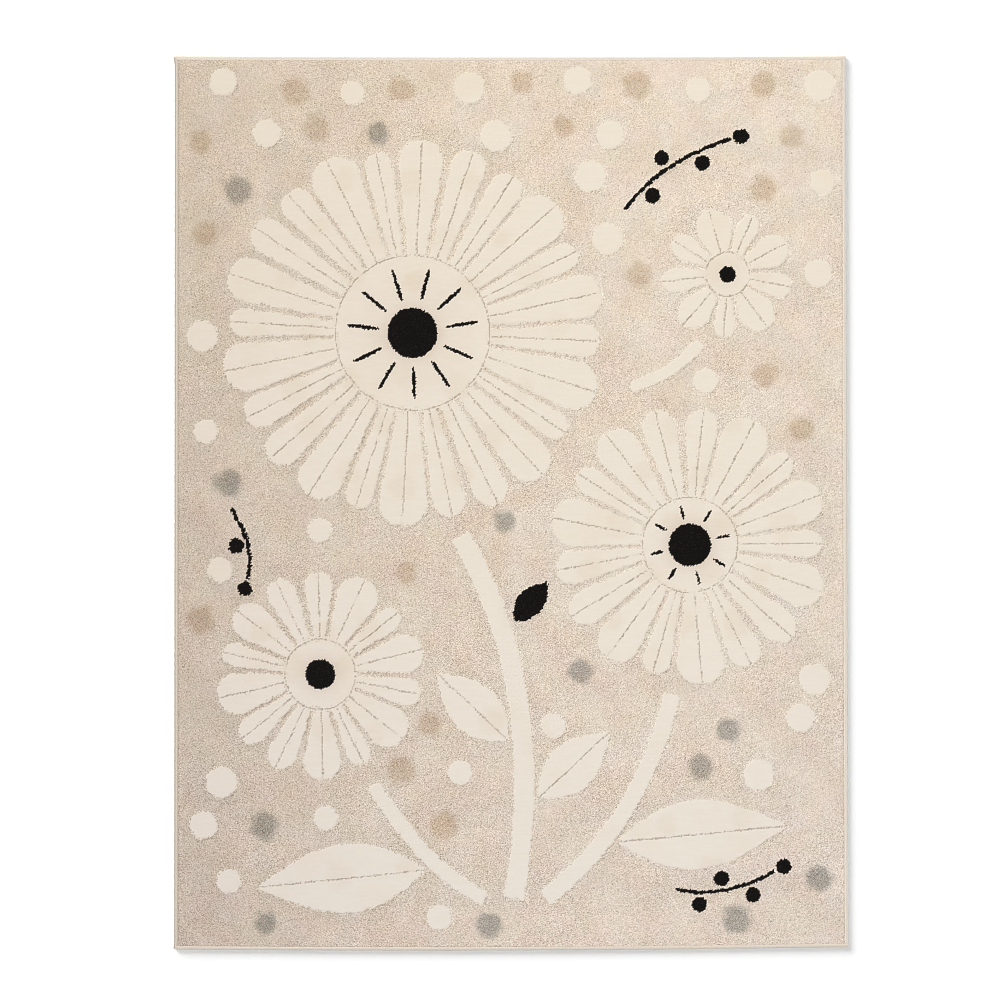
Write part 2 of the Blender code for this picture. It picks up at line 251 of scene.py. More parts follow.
# Woven back
BACKING_COLUMNS = 60
BACKING_ROWS = 80
BACKING_Z = 0.4 * MM
BACKING_LAP = 1.0 * MM
WARP_PITCH = 2.6 * MM
WEFT_PITCH = 2.2 * MM

# Colours are in linear light. A tint multiplies what it lies on. A scale is in waves a metre.
WHITE = (1.0, 1.0, 1.0)

# Fibre ends: random cells, wider than they are long, in rows that curve up to both sides
FIBRE_CELL = 0.78 * MM
FIBRE_STRETCH = 1.65
FIBRE_SQUASH = 0.85
FIBRE_CURVE = 0.55
FIBRE_SCALE = 1600.0
FIBRE_BUMP = 0.5
TUFT_BUMP = 0.6
BUMP_HEIGHT = 0.5 * MM
BUMP_STRENGTH = 0.5
RAISED_BUMP = 0.10

# Heather yarn of the low pile: the brightness of its fibres against the mean, and how each channel follows
GROUND_COLOUR = (0.660, 0.557, 0.458)
Stop = namedtuple("Stop", "at level")
HEATHER = (
    Stop(at=0.0, level=0.43),
    Stop(at=0.10, level=0.64),
    Stop(at=0.34, level=0.945),
    Stop(at=0.60, level=1.10),
    Stop(at=0.85, level=1.24),
    Stop(at=1.0, level=1.39),
)
HEATHER_SLOPES = (0.90, 1.0, 1.12)

# The heather is calmer to the right and the top and in patches, and stronger along the rug's edges
CALM = 0.255
CALM_RIGHT = 0.076
CALM_UP = 0.176
PATCH_SCALE = 7.0
PATCH_CALM = 1.1
VERGE = 22.0 * MM
VERGE_STRENGTH = 0.34

# Slow changes of the low pile's brightness, and how each channel follows
Mottle = namedtuple("Mottle", "scale detail strength")
COARSE_MOTTLE = Mottle(scale=14.0, detail=3.0, strength=0.31)
FINE_MOTTLE = Mottle(scale=70.0, detail=2.0, strength=0.10)
MOTTLE_SLOPES = (0.84, 1.0, 1.18)

# Slow changes of its colour: the scale of each noise, and the tints it runs between
Tint = namedtuple("Tint", "scale low high")
TINTS = (
    Tint(scale=15.0, low=(1.0085, 0.991, 0.990), high=(0.9915, 1.009, 1.010)),
    Tint(scale=19.0, low=(1.0, 1.0, 0.978), high=(1.0, 1.0, 1.022)),
)
TINT_SPAN = (0.38, 0.62)

# What else colours the low pile
SPECK_CELL = 2.4 * MM
SPECK_SPAN = (0.9945, 0.998)
SPECK_TINT = (0.70, 0.68, 0.645)
DOT_TINTS = {"grey": (0.47, 0.50, 0.505), "taupe": (0.78, 0.71, 0.62)}
DOT_DITHER = 1.1
# Painted cool tint near raised pile, against the warm light that the cream pile bounces into the low pile's
# shade
GAP_PAINTED_COOL_TINT = (0.955, 0.990, 1.004)
# Painted light on low pile in the shadow of raised pile
LEE_PAINTED_LIGHT = (1.35, 1.35, 1.35)
# Painted shade in the groove where the pile's margin dips under the serging
RIM_PAINTED_SHADE = (0.78, 0.77, 0.76)
# Painted shade on the low tufts at the foot of the step up to raised pile
FOOT_SHADE_COLOUR = (0.40, 0.345, 0.285)
FOOT_SHADE_STRENGTH = 0.07
FOOT_SHADE_START = 0.35

# Cream yarn of the raised pile, its warm patches, its streaks and the flecks in it
CREAM_COLOUR = (0.728, 0.661, 0.570)
CREAM_WARM = (0.718, 0.640, 0.534)
WARM_SCALE = 9.0
WARM_SPAN = (0.52, 0.75)
STREAK_SCALE = 45.0
STREAK_STRETCH = 5.0
STREAK_TURN = -24
STREAK_SPAN = (0.30, 0.70)
STREAK_TINT = (0.972, 0.970, 0.965)
FLECK_START = 0.88
FLECK_TINT = (0.97, 0.965, 0.95)
HALO_TINT = (0.883, 0.851, 0.840)
VEILED_TINT = (0.970, 0.952, 0.925)

# Painted shade at the dark bottom of the carved lines, ragged and broken here and there
CREASE_PAINTED_SHADE = (0.38, 0.305, 0.235)
LINE_STRENGTH = 0.88
LINE_RAGGEDNESS = 0.35
LINE_SPAN = (0.18, 0.62)
BREAK_SCALE = 55.0
BREAK_SPAN = (0.30, 0.42)

# Black yarn, and how ragged and how soft the line is where two yarns meet
INK_COLOUR = (0.0055, 0.0048, 0.0042)
INK_SHINE = (0.022, 0.021, 0.019)
INK_SHINE_START = 0.90
MEETING_RAGGEDNESS = 0.35
MEETING_BLEND = 0.06

# Painted light and shade: how the tone of each channel changes over the rug, from its middle out to its
# sides
LightSlope = namedtuple("LightSlope", "right up sides")
GROUND_PAINTED_LIGHT = (
    LightSlope(right=0.098, up=0.060, sides=0.083),
    LightSlope(right=0.113, up=0.058, sides=0.080),
    LightSlope(right=0.126, up=0.032, sides=0.071),
)
CREAM_PAINTED_LIGHT = (
    LightSlope(right=0.036, up=0.033, sides=0.034),
    LightSlope(right=0.042, up=0.022, sides=0.043),
    LightSlope(right=0.039, up=-0.016, sides=0.040),
)
TONE_HALF_WIDTH = 0.6026
TONE_HALF_LENGTH = 0.799

# Yarn of the serging, with painted shade that darkens it towards the bottom and the left
YARN_DARK = (0.66, 0.585, 0.49)
YARN_LIGHT = (0.76, 0.69, 0.59)
YARN_SCALE = 900.0
YARN_SPAN = (0.35, 0.65)
LOWER_LEFT_SHADE_YARN = (0.56, 0.48, 0.40)
LOWER_LEFT_SHADE_STRENGTH = 0.3
LOWER_SHADE = 0.5
LOWER_SHADE_SPAN = (-0.5, 0.8)
LEFT_SHADE = 0.6
LEFT_SHADE_SPAN = (0.50, 0.60)
# Painted shade in the grooves between wraps
BETWEEN_WRAPS_SHADE = (0.40, 0.34, 0.27)
BETWEEN_WRAPS_SHADE_STRENGTH = 0.45
PAINTED_LIGHT_YARN = (0.84, 0.78, 0.70)
PAINTED_SHADE_YARN = (0.22, 0.19, 0.16)
HAIR_SCALE = 2500.0
HAIR_HEIGHT = 0.15 * MM
HAIR_STRENGTH = 0.6

# Jute of the back, through which the pile's yarn shows a little
JUTE_DARK = (0.36, 0.265, 0.165)
JUTE_LIGHT = (0.53, 0.42, 0.29)
SLUB_SCALE = 220.0
SLUB_SPAN = (0.3, 0.7)
SLUB_BUMP = 0.5
JUTE_SHADE = (0.20, 0.145, 0.09)
JUTE_SHADE_STRENGTH = 0.55
SHOWING_YARN = (0.60, 0.54, 0.45)
SHOWING_STRENGTH = 0.25
SHOWING_SCALE = 18.0
SHOWING_SPAN = (0.40, 0.65)
WEAVE_HEIGHT = 0.5 * MM
WEAVE_STRENGTH = 0.8

# Floor
FLOOR_HALF = 120.0
FLOOR_Z = -0.2 * MM
FLOOR_DARK = (0.925, 0.925, 0.925)
FLOOR_LIGHT = (0.935, 0.935, 0.935)
FLOOR_SCALE = 3.0

# Studio: each soft light's place in the sky, its radius from full to none in degrees, and its radiance
SkyLight = namedtuple("SkyLight", "azimuth elevation inner outer level")
SKY_LIGHTS = (
    SkyLight(azimuth=0, elevation=90, inner=10, outer=14, level=11.15),
    SkyLight(azimuth=130, elevation=20.5, inner=1, outer=27.5, level=14.4),
)
HORIZON_SPAN = (0.31, 0.17)
HORIZON_LEVEL = 0.80
SKY_LEVEL = 0.073

# Development: the slight sharpening of a product photograph, which the darkest yarn keeps out of
SHARPENING = 0.07
DARKEST = 0.86
PIXEL_FILTER = 1.18

# Camera: straight above, one pixel of the photograph's frame being this wide at the rug
PIXEL = 1.788 * MM
FRAME_PIXELS = 1000
SENSOR_WIDTH = 36.0
CAMERA_HEIGHT = 8.0
CAMERA_X = -19.6 * MM
CAMERA_Y = 5.4 * MM
CAMERA_REACH = 500.0


# --- The unevenness of the rug, as in its solids ---


def edge_offset(edge, share):
    start = edge.start * (1 - share) * (1 - 2 * share)
    middle = edge.middle * 4 * share * (1 - share)
    end = edge.end * share * (2 * share - 1)
    return start + middle + end


def lay_out(x, y):
    """Where points of the true rectangle lie on the uneven rug, before it is centred."""
    past_x = np.abs(x) - (WIDTH / 2 - CORNER_ROUND)
    past_y = np.abs(y) - (LENGTH / 2 - CORNER_ROUND)
    corner = (past_x > 0) & (past_y > 0)
    reach = np.where(corner, np.hypot(past_x, past_y), 1.0)
    shrink = np.where(corner, np.maximum(past_x, past_y) / reach, 1.0)
    x = np.where(corner, x - np.sign(x) * past_x * (1 - shrink), x)
    y = np.where(corner, y - np.sign(y) * past_y * (1 - shrink), y)
    across, along = x / WIDTH + 0.5, y / LENGTH + 0.5
    move_x = edge_offset(RIGHT_EDGE, along) * across - edge_offset(LEFT_EDGE, along) * (1 - across)
    move_y = edge_offset(TOP_EDGE, across) * along - edge_offset(BOTTOM_EDGE, across) * (1 - along)
    for flare in FLARES:
        away = np.hypot(x - flare.side_x * WIDTH / 2, y - flare.side_y * LENGTH / 2)
        weight = np.exp(-((away / FLARE_REACH) ** 2))
        move_x = move_x + flare.out_x * weight
        move_y = move_y + flare.out_y * weight
    return x + move_x, y + move_y


def rug_centre():
    """The middle of the uneven outline, which the solids have at the origin."""
    t = np.linspace(-0.5, 0.5, OUTLINE_POINTS)
    half_x, half_y = np.full_like(t, WIDTH / 2), np.full_like(t, LENGTH / 2)
    x, y = lay_out(
        np.concatenate([t * WIDTH, t * WIDTH, half_x, -half_x]),
        np.concatenate([half_y, -half_y, t * LENGTH, t * LENGTH]),
    )
    return (x.min() + x.max()) / 2, (y.min() + y.max()) / 2


CENTRE = rug_centre()


def uneven(x, y):
    x, y = lay_out(x, y)
    return x - CENTRE[0], y - CENTRE[1]


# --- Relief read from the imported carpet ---


def relief_raster(node):
    """Heights of the carpet's top on a fine raster, and the raster's lowest corner."""
    mesh = node.data
    mesh.calc_loop_triangles()
    co = np.empty(len(mesh.vertices) * 3)
    mesh.vertices.foreach_get("co", co)
    co = co.reshape(-1, 3)
    tri = np.empty(len(mesh.loop_triangles) * 3, dtype=int)
    mesh.loop_triangles.foreach_get("vertices", tri)
    corners = co[tri.reshape(-1, 3)]
    low = co[:, :2].min(axis=0)
    size = np.ceil((co[:, :2].max(axis=0) - low) / RELIEF_RASTER).astype(int) + 1
    raster = np.full((size[1], size[0]), GROUND_TOP)
    for a, b, c in corners[corners[:, :, 2].max(axis=1) > GROUND_TOP + RELIEF_LEAST]:
        area = (b[0] - a[0]) * (c[1] - a[1]) - (b[1] - a[1]) * (c[0] - a[0])
        if abs(area) < 1e-12:
            continue
        first = np.floor((np.minimum(np.minimum(a, b), c)[:2] - low) / RELIEF_RASTER).astype(int)
        last = np.ceil((np.maximum(np.maximum(a, b), c)[:2] - low) / RELIEF_RASTER).astype(int) + 1
        ys, xs = np.mgrid[first[1]:last[1], first[0]:last[0]]
        px, py = xs * RELIEF_RASTER + low[0], ys * RELIEF_RASTER + low[1]
        v = ((px - a[0]) * (c[1] - a[1]) - (py - a[1]) * (c[0] - a[0])) / area
        w = ((b[0] - a[0]) * (py - a[1]) - (b[1] - a[1]) * (px - a[0])) / area
        inside = (v >= 0) & (w >= 0) & (v + w <= 1)
        height = a[2] + v * (b[2] - a[2]) + w * (c[2] - a[2])
        part = raster[first[1]:last[1], first[0]:last[0]]
        np.maximum(part, np.where(inside, height, 0), out=part)
    return raster, low


def sample(raster, low, x, y):
    i = np.clip(np.rint((y - low[1]) / RELIEF_RASTER).astype(int), 0, raster.shape[0] - 1)
    j = np.clip(np.rint((x - low[0]) / RELIEF_RASTER).astype(int), 0, raster.shape[1] - 1)
    return raster[i, j]


# --- Colour areas ---


def bezier(line, share):
    """Points of a line with one bend, and its unit directions."""
    start, bend, end = (np.array(p)[:, None] for p in line)
    share = np.atleast_1d(share)
    first, second = start + (bend - start) * share, bend + (end - bend) * share
    ahead = second - first
    return first + ahead * share, ahead / np.linalg.norm(ahead, axis=0)


def leaf_axis(leaf):
    """A leaf's foot and the direction of its midrib."""
    point, ahead = (v[:, 0] for v in bezier(leaf.stem, leaf.share))
    foot = point + np.array([-ahead[1], ahead[0]]) * leaf.side * (leaf.stem_width / 2 + 2 * GROOVE)
    turn = math.atan2(ahead[1], ahead[0]) + leaf.side * math.radians(leaf.angle)
    return foot, np.array([math.cos(turn), math.sin(turn)])


def along_and_beside(x, y, foot, ahead):
    """Distances along a line from its foot, and to the left of it."""
    dx, dy = x - foot[0], y - foot[1]
    return dx * ahead[0] + dy * ahead[1], dy * ahead[0] - dx * ahead[1]


def crease_lines():
    """Each straight crease: its foot, direction, and where it starts and ends from the foot."""
    for flower in FLOWERS:
        petals = [PETALS[i % len(PETALS)] for i in range(flower.petals)]
        whole = sum(petal.share for petal in petals)
        angle = math.radians(flower.turn)
        for petal in petals:
            sweep = 2 * math.pi * petal.share / whole
            middle = angle + sweep / 2
            ahead = np.array([math.cos(middle), math.sin(middle)])
            outer = flower.radius * petal.length - GROOVE / 2
            yield np.array([flower.x, flower.y]), ahead, flower.disc + DISC_GAP, outer
            angle += sweep
    for leaf in (*LEAVES, BLACK_LEAF):
        yield *leaf_axis(leaf), GROOVE / 2, leaf.length - GROOVE


def crease_fields(x, y):
    """Signed distance from the nearest carved line, and whether one is near."""
    side = np.full(x.shape, CREASE_CLAMP)
    for flower in FLOWERS:
        away = np.hypot(x - flower.x, y - flower.y) - (flower.disc + DISC_GAP / 2)
        side = np.where(np.abs(away) < np.abs(side), away, side)
    for foot, ahead, start, end in crease_lines():
        along, beside = along_and_beside(x, y, foot, ahead)
        near = (along > start) & (along < end) & (np.abs(beside) < np.abs(side))
        side = np.where(near, beside, side)
    return side, np.abs(side) < CREASE_ZONE


def black_inlay(x, y):
    """Where raised pile is black. The tufts at its edge stand a little in or out."""
    x = x + RNG.uniform(-INLAY_TOOTH, INLAY_TOOTH, x.shape)
    y = y + RNG.uniform(-INLAY_TOOTH, INLAY_TOOTH, x.shape)
    black = np.zeros(x.shape, dtype=bool)
    for inlay in INLAYS:
        flower = FLOWERS[inlay.flower]
        black |= np.hypot(x - flower.x, y - flower.y) < inlay.core
        for i in range(inlay.lines):
            turn = 2 * math.pi * (i + INLAY_TURN) / inlay.lines
            ahead = np.array([math.cos(turn), math.sin(turn)])
            along, beside = along_and_beside(x, y, (flower.x, flower.y), ahead)
            share = (along - inlay.line_start) / (inlay.line_end - inlay.line_start)
            taper = np.clip(4 * share * (1 - share), 0, 1) ** INLAY_TAPER
            black |= (share > 0) & (share < 1) & (np.abs(beside) < inlay.line_width / 2 * taper)
    foot, ahead = leaf_axis(BLACK_LEAF)
    along, beside = along_and_beside(x, y, foot, ahead)
    share = np.clip(along / BLACK_LEAF.length, 0, 1)
    half = (GROOVE + BLACK_LEAF.width * np.sin(math.pi * share ** LEAF_FOOT)) / 2 + BLACK_REACH
    black |= (along > -BLACK_REACH) & (along < BLACK_LEAF.length + BLACK_REACH) & (np.abs(beside) < half)
    for sprig in SPRIGS:
        for share in np.linspace(0, 1, STALK_POINTS):
            point = bezier(sprig.line, share)[0][:, 0]
            black |= np.hypot(x - point[0], y - point[1]) < STALK_WIDTH / 2 + BLACK_REACH
        for berry_x, berry_y in berry_places(sprig):
            black |= np.hypot(x - berry_x, y - berry_y) < BERRY_RADIUS + BLACK_REACH
    return black


def berry_places(sprig):
    reach = STALK_WIDTH / 2 + GROOVE + BERRY_RADIUS
    for i in range(sprig.berries):
        point, ahead = (v[:, 0] for v in bezier(sprig.line, (i + 1) / (sprig.berries + 1)))
        yield point + np.array([-ahead[1], ahead[0]]) * (reach if i % 2 else -reach)
    tip, ahead = (v[:, 0] for v in bezier(sprig.line, 1.0))
    yield tip + ahead * (GROOVE + BERRY_RADIUS)


def dot_kind(raster, low, x, y, radius, odd):
    """What kind of dot fits at a place: one at ground level, a veiled one on raised pile, or none."""
    ring = np.linspace(0, 2 * math.pi, DOT_RING_POINTS)
    around = [(x, y)]
    for reach in (radius / 2, radius, radius + DOT_CLEARANCE):
        around += [(x + reach * math.cos(turn), y + reach * math.sin(turn)) for turn in ring]
    px, py = np.array(around).T
    lifted = sample(raster, low, px, py) > LIFTED_LEVEL
    if not lifted.any():
        return "grey" if odd else "taupe"
    return "veiled" if lifted[-ring.size:].mean() > VEILED_SHARE else None


def flat_dots(raster, low):
    """The dots at ground level, and those that show faintly through raised pile."""
    shift = random.Random(DOT_SEED)
    for row in range(DOT_ROWS):
        stagger = DOT_STAGGER if row % 2 else -DOT_STAGGER
        for column in range(DOT_COLUMNS):
            x = (column - (DOT_COLUMNS - 1) / 2 + stagger) * DOT_PITCH_X
            y = (row - (DOT_ROWS - 1) / 2) * DOT_PITCH_Y
            x += shift.uniform(-DOT_SHIFT, DOT_SHIFT)
            y += shift.uniform(-DOT_SHIFT, DOT_SHIFT)
            radius = DOT_RADII[(row + column) % len(DOT_RADII)]
            margin = SERGING_WIDTH + DOT_CLEARANCE + radius
            if abs(x) > WIDTH / 2 - margin or abs(y) > LENGTH / 2 - margin:
                continue
            kind = dot_kind(raster, low, x, y, radius, (row + column) % 2)
            if kind:
                yield FlatDot(x, y, radius, kind)


# --- Meshes ---


def grid_mesh(name, x, y, z, fields=None):
    """A mesh of quads over a grid of points, facing up, with point attributes."""
    rows, columns = x.shape
    mesh = bpy.data.meshes.new(name)
    mesh.vertices.add(rows * columns)
    mesh.vertices.foreach_set("co", np.stack([x, y, z], axis=-1).astype(np.float32).ravel())
    index = np.arange(rows * columns).reshape(rows, columns)
    quads = np.stack([index[:-1, :-1], index[:-1, 1:], index[1:, 1:], index[1:, :-1]], axis=-1)
    quads = quads.reshape(-1, 4)
    mesh.loops.add(quads.size)
    mesh.loops.foreach_set("vertex_index", quads.ravel())
    mesh.polygons.add(len(quads))
    mesh.polygons.foreach_set("loop_start", np.arange(len(quads)) * 4)
    mesh.polygons.foreach_set("use_smooth", np.ones(len(quads), dtype=bool))
    mesh.update(calc_edges=True)
    for key, values in (fields or {}).items():
        layer = mesh.attributes.new(key, "FLOAT", "POINT")
        layer.data.foreach_set("value", values.astype(np.float32).ravel())
    return mesh


def add_uv(mesh, x, y):
    """A UV map of the mesh as seen from above."""
    span = max(np.ptp(x), np.ptp(y))
    plan = np.stack([(x - x.min()).ravel(), (y - y.min()).ravel()], axis=-1) / span
    loops = np.empty(len(mesh.loops), dtype=int)
    mesh.loops.foreach_get("vertex_index", loops)
    layer = mesh.uv_layers.new(name="OFBake")
    layer.uv.foreach_set("vector", plan[loops].astype(np.float32).ravel())


def new_object(name, data):
    obj = bpy.data.objects.new(name, data)
    bpy.context.scene.collection.objects.link(obj)
    return obj


def place(name, mesh, material, slot, *nodes):
    """A piece that rides with the rug and stands for nodes of its solids."""
    obj = new_object(name, mesh)
    mesh.materials.append(material)
    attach(obj, "root")
    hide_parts(*nodes)
    return obj


def smooth_field(shape, step):
    """Gentle random values, from -1 to 1, that change over a number of grid points."""
    coarse = RNG.uniform(-1, 1, (shape[0] // step + 2, shape[1] // step + 2))
    rows = np.arange(shape[0]) / step
    columns = np.arange(shape[1]) / step
    i, j = rows.astype(int), columns.astype(int)
    a, b = rows - i, columns - j
    a, b = (a * a * (3 - 2 * a))[:, None], (b * b * (3 - 2 * b))[None, :]
    upper = coarse[np.ix_(i, j)] * (1 - b) + coarse[np.ix_(i, j + 1)] * b
    lower = coarse[np.ix_(i + 1, j)] * (1 - b) + coarse[np.ix_(i + 1, j + 1)] * b
    return upper * (1 - a) + lower * a


def spread(field):
    """The field's largest value among each point and its neighbours."""
    wide = field.copy()
    wide[1:] = np.maximum(wide[1:], field[:-1])
    wide[:-1] = np.maximum(wide[:-1], field[1:])
    wide[:, 1:] = np.maximum(wide[:, 1:], field[:, :-1])
    wide[:, :-1] = np.maximum(wide[:, :-1], field[:, 1:])
    return wide


def blurred(field, reach):
    """The field's mean over the points round each, taken twice."""
    width = 2 * reach + 1
    for axis in (0, 1, 0, 1):
        margin = [(0, 0), (0, 0)]
        margin[axis] = (reach + 1, reach)
        total = np.cumsum(np.pad(field, margin, mode="edge"), axis=axis)
        total = np.moveaxis(total, axis, 0)
        field = np.moveaxis((total[width:] - total[:-width]) / width, 0, axis)
    return field


def nearness(field):
    """How near each tuft is to those of the field, from 0 to 1."""
    return np.clip(2 * blurred(field, NEAR_REACH), 0, 1)


def lee_of(raised):
    """How much painted light each low tuft gets in the shadow of raised pile at its upper left, from 0 to 1.
    """
    lee = np.zeros(raised.shape)
    for ring in LEE_RINGS:
        shifted = np.zeros(raised.shape)
        shifted[:-ring.tufts, ring.tufts:] = raised[ring.tufts:, :-ring.tufts]
        lee = np.maximum(lee, ring.share * shifted)
    start, end = NARROW_SPAN
    narrow = np.clip((blurred(raised, NARROW_REACH) - start) / (end - start), 0, 1)
    return lee * (1 - raised) * (1 - NARROW_SHADE * narrow)


def soft_normals(x, y, height):
    """Upward normals of a height field: fibres blur the light over a step more than a hard edge would."""
    slope_x = np.gradient(height, axis=1) / np.gradient(x, axis=1)
    slope_y = np.gradient(height, axis=0) / np.gradient(y, axis=0)
    normals = np.stack([-slope_x, -slope_y, np.ones(x.shape)], axis=-1)
    return normals / np.linalg.norm(normals, axis=-1, keepdims=True)


def tuft_grid():
    """Where the tufts stand on the true rectangle, and which of them are inside its border."""
    columns = round((WIDTH - 2 * PILE_INSET) / TUFT)
    rows = round((LENGTH - 2 * PILE_INSET) / TUFT)
    gx, gy = np.meshgrid(
        np.linspace(-1, 1, columns + 1) * (WIDTH / 2 - PILE_INSET),
        np.linspace(-1, 1, rows + 1) * (LENGTH / 2 - PILE_INSET),
    )
    inner = np.zeros(gx.shape)
    inner[1:-1, 1:-1] = 1
    scatter = TUFT * TUFT_SCATTER
    gx = gx + RNG.uniform(-scatter, scatter, gx.shape) * inner
    gy = gy + RNG.uniform(-scatter, scatter, gx.shape) * inner
    return gx, gy, inner


def raised_tufts(gx, x, y, warps, crease, raster, low):
    """Which tufts are raised: by the relief where they stray to, and along all carved lines."""
    tooth = np.interp(gx, (-WIDTH / 2, WIDTH / 2), (EDGE_TOOTH_LEFT, EDGE_TOOTH_RIGHT))
    stray_x, stray_y = (RNG.uniform(-1, 1, x.shape) * tooth + EDGE_WOBBLE * warp for warp in warps)
    raised = sample(raster, low, x + stray_x, y + stray_y) > (GROUND_TOP + RAISED_TOP) / 2
    return (raised | (np.abs(crease) < (GROOVE + RELIEF_SLOPE) / 2 + TUFT / 2)).astype(float)


def tuft_bumps(raised):
    """How far each tuft stands from its level."""
    roughness = np.where(raised > 0, RAISED_ROUGHNESS, GROUND_ROUGHNESS)
    bumps = (np.clip(RNG.normal(0, 1, raised.shape), LOWEST_TUFT, HIGHEST_TUFT) - HIGHEST_TUFT) * roughness
    return bumps + smooth_field(raised.shape, UNDULATION_STEP) * UNDULATION


def carved_tufts(crease, zone):
    """How deep each tuft is carved, from 0 to 1."""
    wander = smooth_field(crease.shape, CREASE_WANDER_STEP) * CREASE_WANDER
    wander = wander + RNG.uniform(-CREASE_JITTER, CREASE_JITTER, crease.shape) * TUFT
    carved = ((np.abs(crease + wander) < CREASE_HALF) & zone).astype(float)
    return carved * RNG.uniform(CREASE_SHALLOWEST, 1.0, crease.shape)


def pile_level(raised, foot, carved):
    """The tufts' level, which rises over two rings of low tufts to the raised pile."""
    level = np.where(raised > 0, RAISED_LEVEL, GROUND_LEVEL)
    beyond = spread(foot) * (1 - raised) * (1 - foot)
    return level + FOOT_RISE * foot + FOOT_RISE / 3 * beyond - CREASE_DEPTH * carved


def rim_shade_field(gx, gy, inner):
    """How dark the painted shade is on each tuft of the margin."""
    rim_shade = 1 - inner
    rim_shade[1:-1, 1] = rim_shade[1:-1, -2] = RIM_SECOND
    share_x, share_y = gx / WIDTH + 0.5, gy / LENGTH + 0.5
    sides = [share_x < RIM_SIDE, share_x > 1 - RIM_SIDE, share_y < 0.5]
    return rim_shade * np.select(sides, [RIM_LEFT, RIM_RIGHT, RIM_BOTTOM - RIM_BOTTOM_FALL * share_x], RIM_TOP)


def dot_fields(gx, gy, warps, dots):
    """How strongly each kind of dot colours each tuft."""
    fields = {kind: np.zeros(gx.shape) for kind in DOT_KINDS}
    warp_x, warp_y = warps
    for dot in dots:
        away = np.hypot(gx + DOT_WOBBLE * warp_x - dot.x, gy + DOT_WOBBLE * warp_y - dot.y) / dot.radius
        share = np.clip((FLAT_DOT_END - away) / (FLAT_DOT_END - FLAT_DOT_CORE), 0, 1)
        strength = share * share * (3 - 2 * share) * RNG.uniform(FAINTEST_DOT, 1.0)
        np.maximum(fields[dot.kind], strength, out=fields[dot.kind])
    return fields


def pile_tiles(material, x, y, z, normals, fields):
    """The height field cut into tiles."""
    row_cuts = np.linspace(0, x.shape[0] - 1, TILES_ALONG + 1).round().astype(int)
    column_cuts = np.linspace(0, x.shape[1] - 1, TILES_ACROSS + 1).round().astype(int)
    tiles = []
    for i in range(TILES_ALONG):
        for j in range(TILES_ACROSS):
            rows = slice(row_cuts[i], row_cuts[i + 1] + 1)
            part = (rows, slice(column_cuts[j], column_cuts[j + 1] + 1))
            name = f"pile_{i * TILES_ACROSS + j + 1}"
            cut_fields = {key: field[part] for key, field in fields.items()}
            mesh = grid_mesh(name, x[part], y[part], z[part], cut_fields)
            mesh.normals_split_custom_set_from_vertices(normals[part].reshape(-1, 3))
            add_uv(mesh, x[part], y[part])
            tiles.append(place(name, mesh, material, "carpet_pile", "carpet"))
    return tiles


def build_pile(material, raster, low):
    """The tufts over the whole top, as tiles of one height field."""
    gx, gy, inner = tuft_grid()
    x, y = uneven(gx, gy)
    crease, zone = crease_fields(gx, gy)
    warps = [smooth_field(x.shape, WOBBLE_STEP) for _ in range(2)]
    raised = raised_tufts(gx, x, y, warps, crease, raster, low)
    black = black_inlay(gx, gy) * raised
    bumps = tuft_bumps(raised)
    carved = carved_tufts(crease, zone)
    foot = spread(raised) * (1 - raised)
    level = pile_level(raised, foot, carved)
    z = np.where(inner > 0, level + bumps, PILE_BORDER_Z)
    normals = soft_normals(x, y, bumps * BUMP_SHADING + level * STEP_SHADING)
    fields = {"raised": raised, "black": black, "foot": foot, "lee": lee_of(raised), "gap": nearness(raised)}
    fields.update({"carved": carved, "halo": nearness(black), "rim_shade": rim_shade_field(gx, gy, inner)})
    fields.update(dot_fields(gx, gy, warps, flat_dots(raster, low)))
    return pile_tiles(material, x, y, z, normals, fields)


def turn_normals_up(mesh):
    """Shading normals turned upward on the top, where loose fibres catch the light from above."""
    normals = np.empty(3 * len(mesh.vertices))
    mesh.vertex_normals.foreach_get("vector", normals)
    normals = normals.reshape(-1, 3)
    normals[:, 2] += WRAP_UPTURN * np.clip(normals[:, 2] - WRAP_UPTURN_START, 0, 1)
    normals = normals / np.linalg.norm(normals, axis=1, keepdims=True)
    mesh.normals_split_custom_set_from_vertices(normals)


